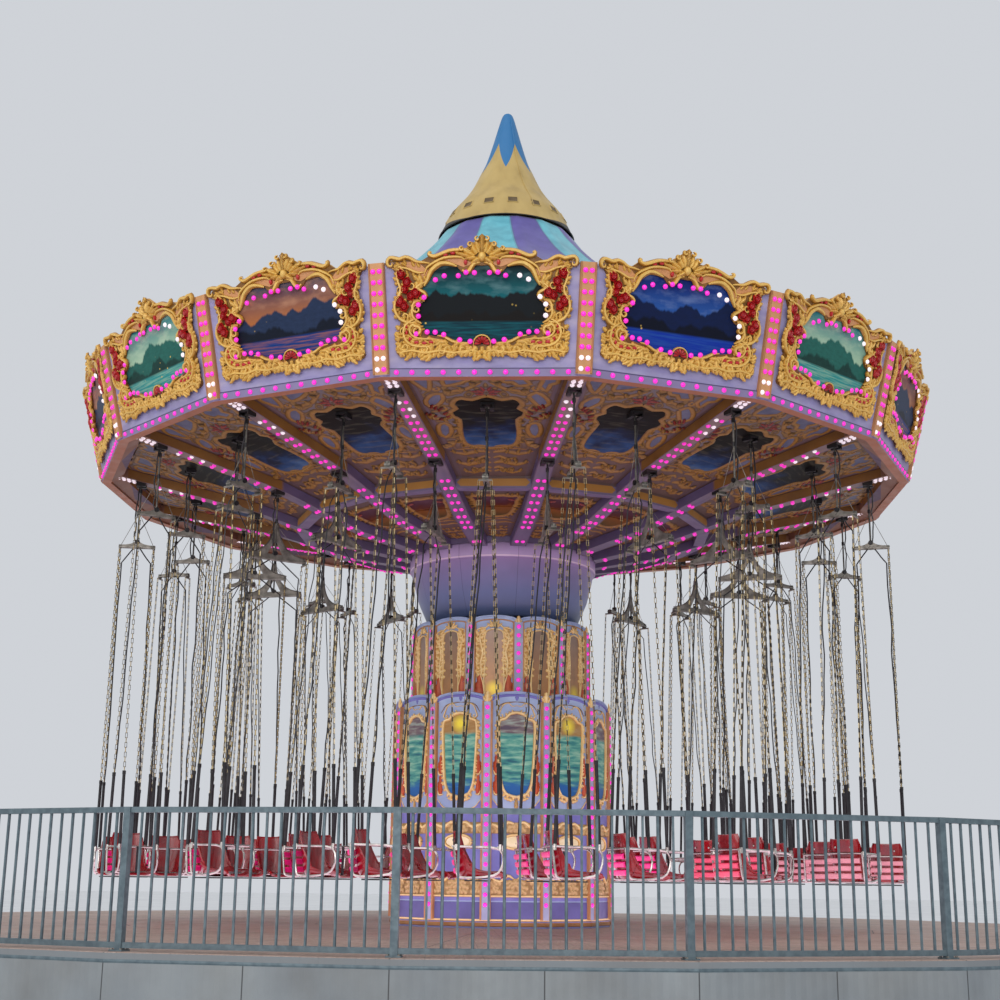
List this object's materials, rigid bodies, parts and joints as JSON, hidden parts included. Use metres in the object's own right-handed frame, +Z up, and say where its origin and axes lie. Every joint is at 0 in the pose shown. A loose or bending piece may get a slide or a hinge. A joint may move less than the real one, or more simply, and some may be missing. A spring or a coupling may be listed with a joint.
{
  "type": "chair swing ride",
  "caption": "Fairground chair swing ride: a raised round deck with a fence, a telescoping clad mast, and a tilting, turning canopy with hanging seats.",
  "frame": {"origin": "middle of the deck's underside, on the ground", "axes": "+Z up the mast; +X to the right as the fence is faced, +Y away from the viewer"},
  "size_m": [17.721, 17.721, 12.897],
  "materials": {
    "deck_plate": "pinkish brown ribbed deck plate, worn",
    "fence_steel": "dull galvanised steel",
    "mast_cladding": "lavender panels with gilded carving",
    "bowl_paint": "blue-violet satin paint",
    "frame_paint": "lavender paint with ochre edges",
    "ceiling_paint": "painted scrollwork panels",
    "carved_boards": "gilded carving over lavender boards",
    "roof_cloth": "turquoise and violet striped tarpaulin",
    "cap_paint": "cream paint with a blue tip",
    "seat_gloss": "glossy dark red shell on a chromed frame and chains"
  },
  "bodies": {
    "base": {"boarding_deck": "deck_plate", "deck_skirt": "deck_plate", "centre_foundation": "fence_steel", "safety_fence": "fence_steel", "lower_drum": "mast_cladding"},
    "mast": {"upper_drum": "mast_cladding"},
    "tilt_head": {"bowl": "bowl_paint"},
    "canopy": {"canopy_frame": "frame_paint", "ceiling_panels": "ceiling_paint", "rounding_boards": "carved_boards", "roof_canvas": "roof_cloth", "roof_cap": "cap_paint"},
    "seat_inner_01": {"seat_inner_01": "seat_gloss"},
    "seat_inner_02": {"seat_inner_02": "seat_gloss"},
    "seat_inner_03": {"seat_inner_03": "seat_gloss"},
    "seat_inner_04": {"seat_inner_04": "seat_gloss"},
    "seat_inner_05": {"seat_inner_05": "seat_gloss"},
    "seat_inner_06": {"seat_inner_06": "seat_gloss"},
    "seat_inner_07": {"seat_inner_07": "seat_gloss"},
    "seat_inner_08": {"seat_inner_08": "seat_gloss"},
    "seat_inner_09": {"seat_inner_09": "seat_gloss"},
    "seat_inner_10": {"seat_inner_10": "seat_gloss"},
    "seat_inner_11": {"seat_inner_11": "seat_gloss"},
    "seat_inner_12": {"seat_inner_12": "seat_gloss"},
    "seat_inner_13": {"seat_inner_13": "seat_gloss"},
    "seat_inner_14": {"seat_inner_14": "seat_gloss"},
    "seat_inner_15": {"seat_inner_15": "seat_gloss"},
    "seat_inner_16": {"seat_inner_16": "seat_gloss"},
    "seat_middle_01": {"seat_middle_01": "seat_gloss"},
    "seat_middle_02": {"seat_middle_02": "seat_gloss"},
    "seat_middle_03": {"seat_middle_03": "seat_gloss"},
    "seat_middle_04": {"seat_middle_04": "seat_gloss"},
    "seat_middle_05": {"seat_middle_05": "seat_gloss"},
    "seat_middle_06": {"seat_middle_06": "seat_gloss"},
    "seat_middle_07": {"seat_middle_07": "seat_gloss"},
    "seat_middle_08": {"seat_middle_08": "seat_gloss"},
    "seat_middle_09": {"seat_middle_09": "seat_gloss"},
    "seat_middle_10": {"seat_middle_10": "seat_gloss"},
    "seat_middle_11": {"seat_middle_11": "seat_gloss"},
    "seat_middle_12": {"seat_middle_12": "seat_gloss"},
    "seat_middle_13": {"seat_middle_13": "seat_gloss"},
    "seat_middle_14": {"seat_middle_14": "seat_gloss"},
    "seat_middle_15": {"seat_middle_15": "seat_gloss"},
    "seat_middle_16": {"seat_middle_16": "seat_gloss"},
    "seat_outer_01": {"seat_outer_01": "seat_gloss"},
    "seat_outer_02": {"seat_outer_02": "seat_gloss"},
    "seat_outer_03": {"seat_outer_03": "seat_gloss"},
    "seat_outer_04": {"seat_outer_04": "seat_gloss"},
    "seat_outer_05": {"seat_outer_05": "seat_gloss"},
    "seat_outer_06": {"seat_outer_06": "seat_gloss"},
    "seat_outer_07": {"seat_outer_07": "seat_gloss"},
    "seat_outer_08": {"seat_outer_08": "seat_gloss"},
    "seat_outer_09": {"seat_outer_09": "seat_gloss"},
    "seat_outer_10": {"seat_outer_10": "seat_gloss"},
    "seat_outer_11": {"seat_outer_11": "seat_gloss"},
    "seat_outer_12": {"seat_outer_12": "seat_gloss"},
    "seat_outer_13": {"seat_outer_13": "seat_gloss"},
    "seat_outer_14": {"seat_outer_14": "seat_gloss"},
    "seat_outer_15": {"seat_outer_15": "seat_gloss"},
    "seat_outer_16": {"seat_outer_16": "seat_gloss"}
  },
  "joints": [
    {"name": "mast_lift", "type": "slide", "parent": "base", "child": "mast", "axis": [0, 0, 1], "range_m": [0, 2.3]},
    {"name": "head_tilt", "type": "hinge", "parent": "mast", "child": "tilt_head", "pos_m": [0, 0, 5.5], "axis": [0, 1, 0], "range_deg": [0, 8]},
    {"name": "canopy_spin", "type": "hinge", "parent": "tilt_head", "child": "canopy", "pos_m": [0, 0, 5.95], "axis": [0, 0, 1], "continuous": true},
    {"name": "seat_outer_01_swing", "type": "hinge", "parent": "canopy", "child": "seat_outer_01", "pos_m": [0.74544, -4.95828, 6.80435], "axis": [-0.9889, -0.1487, 0], "range_deg": [-5, 42]},
    {"name": "seat_inner_01_swing", "type": "hinge", "parent": "canopy", "child": "seat_inner_01", "pos_m": [0.50861, -3.38298, 6.44592], "axis": [-0.9889, -0.1487, 0], "range_deg": [-5, 42]},
    {"name": "seat_inner_02_swing", "type": "hinge", "parent": "canopy", "child": "seat_inner_02", "pos_m": [1.7645, -2.93083, 6.44592], "axis": [-0.8567, -0.5158, 0], "range_deg": [-5, 42]},
    {"name": "seat_inner_03_swing", "type": "hinge", "parent": "canopy", "child": "seat_inner_03", "pos_m": [2.75177, -2.03249, 6.44592], "axis": [-0.5941, -0.8044, 0], "range_deg": [-5, 42]},
    {"name": "seat_inner_04_swing", "type": "hinge", "parent": "canopy", "child": "seat_inner_04", "pos_m": [3.3201, -0.82472, 6.44592], "axis": [-0.2411, -0.9705, 0], "range_deg": [-5, 42]},
    {"name": "seat_inner_05_swing", "type": "hinge", "parent": "canopy", "child": "seat_inner_05", "pos_m": [3.38298, 0.50861, 6.44592], "axis": [0.1487, -0.9889, 0], "range_deg": [-5, 42]},
    {"name": "seat_inner_06_swing", "type": "hinge", "parent": "canopy", "child": "seat_inner_06", "pos_m": [2.93083, 1.7645, 6.44592], "axis": [0.5158, -0.8567, 0], "range_deg": [-5, 42]},
    {"name": "seat_inner_07_swing", "type": "hinge", "parent": "canopy", "child": "seat_inner_07", "pos_m": [2.03249, 2.75177, 6.44592], "axis": [0.8044, -0.5941, 0], "range_deg": [-5, 42]},
    {"name": "seat_inner_08_swing", "type": "hinge", "parent": "canopy", "child": "seat_inner_08", "pos_m": [0.82472, 3.3201, 6.44592], "axis": [0.9705, -0.2411, 0], "range_deg": [-5, 42]},
    {"name": "seat_inner_09_swing", "type": "hinge", "parent": "canopy", "child": "seat_inner_09", "pos_m": [-0.50861, 3.38298, 6.44592], "axis": [0.9889, 0.1487, 0], "range_deg": [-5, 42]},
    {"name": "seat_inner_10_swing", "type": "hinge", "parent": "canopy", "child": "seat_inner_10", "pos_m": [-1.7645, 2.93083, 6.44592], "axis": [0.8567, 0.5158, 0], "range_deg": [-5, 42]},
    {"name": "seat_inner_11_swing", "type": "hinge", "parent": "canopy", "child": "seat_inner_11", "pos_m": [-2.75177, 2.03249, 6.44592], "axis": [0.5941, 0.8044, 0], "range_deg": [-5, 42]},
    {"name": "seat_inner_12_swing", "type": "hinge", "parent": "canopy", "child": "seat_inner_12", "pos_m": [-3.3201, 0.82472, 6.44592], "axis": [0.2411, 0.9705, 0], "range_deg": [-5, 42]},
    {"name": "seat_inner_13_swing", "type": "hinge", "parent": "canopy", "child": "seat_inner_13", "pos_m": [-3.38298, -0.50861, 6.44592], "axis": [-0.1487, 0.9889, 0], "range_deg": [-5, 42]},
    {"name": "seat_inner_14_swing", "type": "hinge", "parent": "canopy", "child": "seat_inner_14", "pos_m": [-2.93083, -1.7645, 6.44592], "axis": [-0.5158, 0.8567, 0], "range_deg": [-5, 42]},
    {"name": "seat_inner_15_swing", "type": "hinge", "parent": "canopy", "child": "seat_inner_15", "pos_m": [-2.03249, -2.75177, 6.44592], "axis": [-0.8044, 0.5941, 0], "range_deg": [-5, 42]},
    {"name": "seat_inner_16_swing", "type": "hinge", "parent": "canopy", "child": "seat_inner_16", "pos_m": [-0.82472, -3.3201, 6.44592], "axis": [-0.9705, 0.2411, 0], "range_deg": [-5, 42]},
    {"name": "seat_middle_01_swing", "type": "hinge", "parent": "canopy", "child": "seat_middle_01", "pos_m": [-0.20713, -4.39212, 6.80521], "axis": [-0.9989, 0.0471, 0], "range_deg": [-5, 42]},
    {"name": "seat_middle_02_swing", "type": "hinge", "parent": "canopy", "child": "seat_middle_02", "pos_m": [1.48943, -4.13705, 6.80521], "axis": [-0.9409, -0.3387, 0], "range_deg": [-5, 42]},
    {"name": "seat_middle_03_swing", "type": "hinge", "parent": "canopy", "child": "seat_middle_03", "pos_m": [2.95924, -3.25216, 6.80521], "axis": [-0.7396, -0.673, 0], "range_deg": [-5, 42]},
    {"name": "seat_middle_04_swing", "type": "hinge", "parent": "canopy", "child": "seat_middle_04", "pos_m": [3.97852, -1.87215, 6.80521], "axis": [-0.4258, -0.9048, 0], "range_deg": [-5, 42]},
    {"name": "seat_middle_05_swing", "type": "hinge", "parent": "canopy", "child": "seat_middle_05", "pos_m": [4.39212, -0.20713, 6.80521], "axis": [-0.0471, -0.9989, 0], "range_deg": [-5, 42]},
    {"name": "seat_middle_06_swing", "type": "hinge", "parent": "canopy", "child": "seat_middle_06", "pos_m": [4.13705, 1.48943, 6.80521], "axis": [0.3387, -0.9409, 0], "range_deg": [-5, 42]},
    {"name": "seat_middle_07_swing", "type": "hinge", "parent": "canopy", "child": "seat_middle_07", "pos_m": [3.25216, 2.95924, 6.80521], "axis": [0.673, -0.7396, 0], "range_deg": [-5, 42]},
    {"name": "seat_middle_08_swing", "type": "hinge", "parent": "canopy", "child": "seat_middle_08", "pos_m": [1.87215, 3.97852, 6.80521], "axis": [0.9048, -0.4258, 0], "range_deg": [-5, 42]},
    {"name": "seat_middle_09_swing", "type": "hinge", "parent": "canopy", "child": "seat_middle_09", "pos_m": [0.20713, 4.39212, 6.80521], "axis": [0.9989, -0.0471, 0], "range_deg": [-5, 42]},
    {"name": "seat_middle_10_swing", "type": "hinge", "parent": "canopy", "child": "seat_middle_10", "pos_m": [-1.48943, 4.13705, 6.80521], "axis": [0.9409, 0.3387, 0], "range_deg": [-5, 42]},
    {"name": "seat_middle_11_swing", "type": "hinge", "parent": "canopy", "child": "seat_middle_11", "pos_m": [-2.95924, 3.25216, 6.80521], "axis": [0.7396, 0.673, 0], "range_deg": [-5, 42]},
    {"name": "seat_middle_12_swing", "type": "hinge", "parent": "canopy", "child": "seat_middle_12", "pos_m": [-3.97852, 1.87215, 6.80521], "axis": [0.4258, 0.9048, 0], "range_deg": [-5, 42]},
    {"name": "seat_middle_13_swing", "type": "hinge", "parent": "canopy", "child": "seat_middle_13", "pos_m": [-4.39212, 0.20713, 6.80521], "axis": [0.0471, 0.9989, 0], "range_deg": [-5, 42]},
    {"name": "seat_middle_14_swing", "type": "hinge", "parent": "canopy", "child": "seat_middle_14", "pos_m": [-4.13705, -1.48943, 6.80521], "axis": [-0.3387, 0.9409, 0], "range_deg": [-5, 42]},
    {"name": "seat_middle_15_swing", "type": "hinge", "parent": "canopy", "child": "seat_middle_15", "pos_m": [-3.25216, -2.95924, 6.80521], "axis": [-0.673, 0.7396, 0], "range_deg": [-5, 42]},
    {"name": "seat_middle_16_swing", "type": "hinge", "parent": "canopy", "child": "seat_middle_16", "pos_m": [-1.87215, -3.97852, 6.80521], "axis": [-0.9048, 0.4258, 0], "range_deg": [-5, 42]},
    {"name": "seat_outer_02_swing", "type": "hinge", "parent": "canopy", "child": "seat_outer_02", "pos_m": [2.58615, -4.29558, 6.80435], "axis": [-0.8567, -0.5158, 0], "range_deg": [-5, 42]},
    {"name": "seat_outer_03_swing", "type": "hinge", "parent": "canopy", "child": "seat_outer_03", "pos_m": [4.03314, -2.97892, 6.80435], "axis": [-0.5941, -0.8044, 0], "range_deg": [-5, 42]},
    {"name": "seat_outer_04_swing", "type": "hinge", "parent": "canopy", "child": "seat_outer_04", "pos_m": [4.86612, -1.20875, 6.80435], "axis": [-0.2411, -0.9705, 0], "range_deg": [-5, 42]},
    {"name": "seat_outer_05_swing", "type": "hinge", "parent": "canopy", "child": "seat_outer_05", "pos_m": [4.95828, 0.74544, 6.80435], "axis": [0.1487, -0.9889, 0], "range_deg": [-5, 42]},
    {"name": "seat_outer_06_swing", "type": "hinge", "parent": "canopy", "child": "seat_outer_06", "pos_m": [4.29558, 2.58615, 6.80435], "axis": [0.5158, -0.8567, 0], "range_deg": [-5, 42]},
    {"name": "seat_outer_07_swing", "type": "hinge", "parent": "canopy", "child": "seat_outer_07", "pos_m": [2.97892, 4.03314, 6.80435], "axis": [0.8044, -0.5941, 0], "range_deg": [-5, 42]},
    {"name": "seat_outer_08_swing", "type": "hinge", "parent": "canopy", "child": "seat_outer_08", "pos_m": [1.20875, 4.86612, 6.80435], "axis": [0.9705, -0.2411, 0], "range_deg": [-5, 42]},
    {"name": "seat_outer_09_swing", "type": "hinge", "parent": "canopy", "child": "seat_outer_09", "pos_m": [-0.74544, 4.95828, 6.80435], "axis": [0.9889, 0.1487, 0], "range_deg": [-5, 42]},
    {"name": "seat_outer_10_swing", "type": "hinge", "parent": "canopy", "child": "seat_outer_10", "pos_m": [-2.58615, 4.29558, 6.80435], "axis": [0.8567, 0.5158, 0], "range_deg": [-5, 42]},
    {"name": "seat_outer_11_swing", "type": "hinge", "parent": "canopy", "child": "seat_outer_11", "pos_m": [-4.03314, 2.97892, 6.80435], "axis": [0.5941, 0.8044, 0], "range_deg": [-5, 42]},
    {"name": "seat_outer_12_swing", "type": "hinge", "parent": "canopy", "child": "seat_outer_12", "pos_m": [-4.86612, 1.20875, 6.80435], "axis": [0.2411, 0.9705, 0], "range_deg": [-5, 42]},
    {"name": "seat_outer_13_swing", "type": "hinge", "parent": "canopy", "child": "seat_outer_13", "pos_m": [-4.95828, -0.74544, 6.80435], "axis": [-0.1487, 0.9889, 0], "range_deg": [-5, 42]},
    {"name": "seat_outer_14_swing", "type": "hinge", "parent": "canopy", "child": "seat_outer_14", "pos_m": [-4.29558, -2.58615, 6.80435], "axis": [-0.5158, 0.8567, 0], "range_deg": [-5, 42]},
    {"name": "seat_outer_15_swing", "type": "hinge", "parent": "canopy", "child": "seat_outer_15", "pos_m": [-2.97892, -4.03314, 6.80435], "axis": [-0.8044, 0.5941, 0], "range_deg": [-5, 42]},
    {"name": "seat_outer_16_swing", "type": "hinge", "parent": "canopy", "child": "seat_outer_16", "pos_m": [-1.20875, -4.86612, 6.80435], "axis": [-0.9705, 0.2411, 0], "range_deg": [-5, 42]}
  ],
  "couplings": [
    {"joint": "head_tilt", "follows": "mast_lift", "rad_per_m": 0.0607},
    {"joint": "seat_inner_01_swing", "follows": "seat_outer_01_swing", "ratio": 1},
    {"joint": "seat_inner_02_swing", "follows": "seat_outer_01_swing", "ratio": 1},
    {"joint": "seat_inner_03_swing", "follows": "seat_outer_01_swing", "ratio": 1},
    {"joint": "seat_inner_04_swing", "follows": "seat_outer_01_swing", "ratio": 1},
    {"joint": "seat_inner_05_swing", "follows": "seat_outer_01_swing", "ratio": 1},
    {"joint": "seat_inner_06_swing", "follows": "seat_outer_01_swing", "ratio": 1},
    {"joint": "seat_inner_07_swing", "follows": "seat_outer_01_swing", "ratio": 1},
    {"joint": "seat_inner_08_swing", "follows": "seat_outer_01_swing", "ratio": 1},
    {"joint": "seat_inner_09_swing", "follows": "seat_outer_01_swing", "ratio": 1},
    {"joint": "seat_inner_10_swing", "follows": "seat_outer_01_swing", "ratio": 1},
    {"joint": "seat_inner_11_swing", "follows": "seat_outer_01_swing", "ratio": 1},
    {"joint": "seat_inner_12_swing", "follows": "seat_outer_01_swing", "ratio": 1},
    {"joint": "seat_inner_13_swing", "follows": "seat_outer_01_swing", "ratio": 1},
    {"joint": "seat_inner_14_swing", "follows": "seat_outer_01_swing", "ratio": 1},
    {"joint": "seat_inner_15_swing", "follows": "seat_outer_01_swing", "ratio": 1},
    {"joint": "seat_inner_16_swing", "follows": "seat_outer_01_swing", "ratio": 1},
    {"joint": "seat_middle_01_swing", "follows": "seat_outer_01_swing", "ratio": 1},
    {"joint": "seat_middle_02_swing", "follows": "seat_outer_01_swing", "ratio": 1},
    {"joint": "seat_middle_03_swing", "follows": "seat_outer_01_swing", "ratio": 1},
    {"joint": "seat_middle_04_swing", "follows": "seat_outer_01_swing", "ratio": 1},
    {"joint": "seat_middle_05_swing", "follows": "seat_outer_01_swing", "ratio": 1},
    {"joint": "seat_middle_06_swing", "follows": "seat_outer_01_swing", "ratio": 1},
    {"joint": "seat_middle_07_swing", "follows": "seat_outer_01_swing", "ratio": 1},
    {"joint": "seat_middle_08_swing", "follows": "seat_outer_01_swing", "ratio": 1},
    {"joint": "seat_middle_09_swing", "follows": "seat_outer_01_swing", "ratio": 1},
    {"joint": "seat_middle_10_swing", "follows": "seat_outer_01_swing", "ratio": 1},
    {"joint": "seat_middle_11_swing", "follows": "seat_outer_01_swing", "ratio": 1},
    {"joint": "seat_middle_12_swing", "follows": "seat_outer_01_swing", "ratio": 1},
    {"joint": "seat_middle_13_swing", "follows": "seat_outer_01_swing", "ratio": 1},
    {"joint": "seat_middle_14_swing", "follows": "seat_outer_01_swing", "ratio": 1},
    {"joint": "seat_middle_15_swing", "follows": "seat_outer_01_swing", "ratio": 1},
    {"joint": "seat_middle_16_swing", "follows": "seat_outer_01_swing", "ratio": 1},
    {"joint": "seat_outer_02_swing", "follows": "seat_outer_01_swing", "ratio": 1},
    {"joint": "seat_outer_03_swing", "follows": "seat_outer_01_swing", "ratio": 1},
    {"joint": "seat_outer_04_swing", "follows": "seat_outer_01_swing", "ratio": 1},
    {"joint": "seat_outer_05_swing", "follows": "seat_outer_01_swing", "ratio": 1},
    {"joint": "seat_outer_06_swing", "follows": "seat_outer_01_swing", "ratio": 1},
    {"joint": "seat_outer_07_swing", "follows": "seat_outer_01_swing", "ratio": 1},
    {"joint": "seat_outer_08_swing", "follows": "seat_outer_01_swing", "ratio": 1},
    {"joint": "seat_outer_09_swing", "follows": "seat_outer_01_swing", "ratio": 1},
    {"joint": "seat_outer_10_swing", "follows": "seat_outer_01_swing", "ratio": 1},
    {"joint": "seat_outer_11_swing", "follows": "seat_outer_01_swing", "ratio": 1},
    {"joint": "seat_outer_12_swing", "follows": "seat_outer_01_swing", "ratio": 1},
    {"joint": "seat_outer_13_swing", "follows": "seat_outer_01_swing", "ratio": 1},
    {"joint": "seat_outer_14_swing", "follows": "seat_outer_01_swing", "ratio": 1},
    {"joint": "seat_outer_15_swing", "follows": "seat_outer_01_swing", "ratio": 1},
    {"joint": "seat_outer_16_swing", "follows": "seat_outer_01_swing", "ratio": 1}
  ]
}
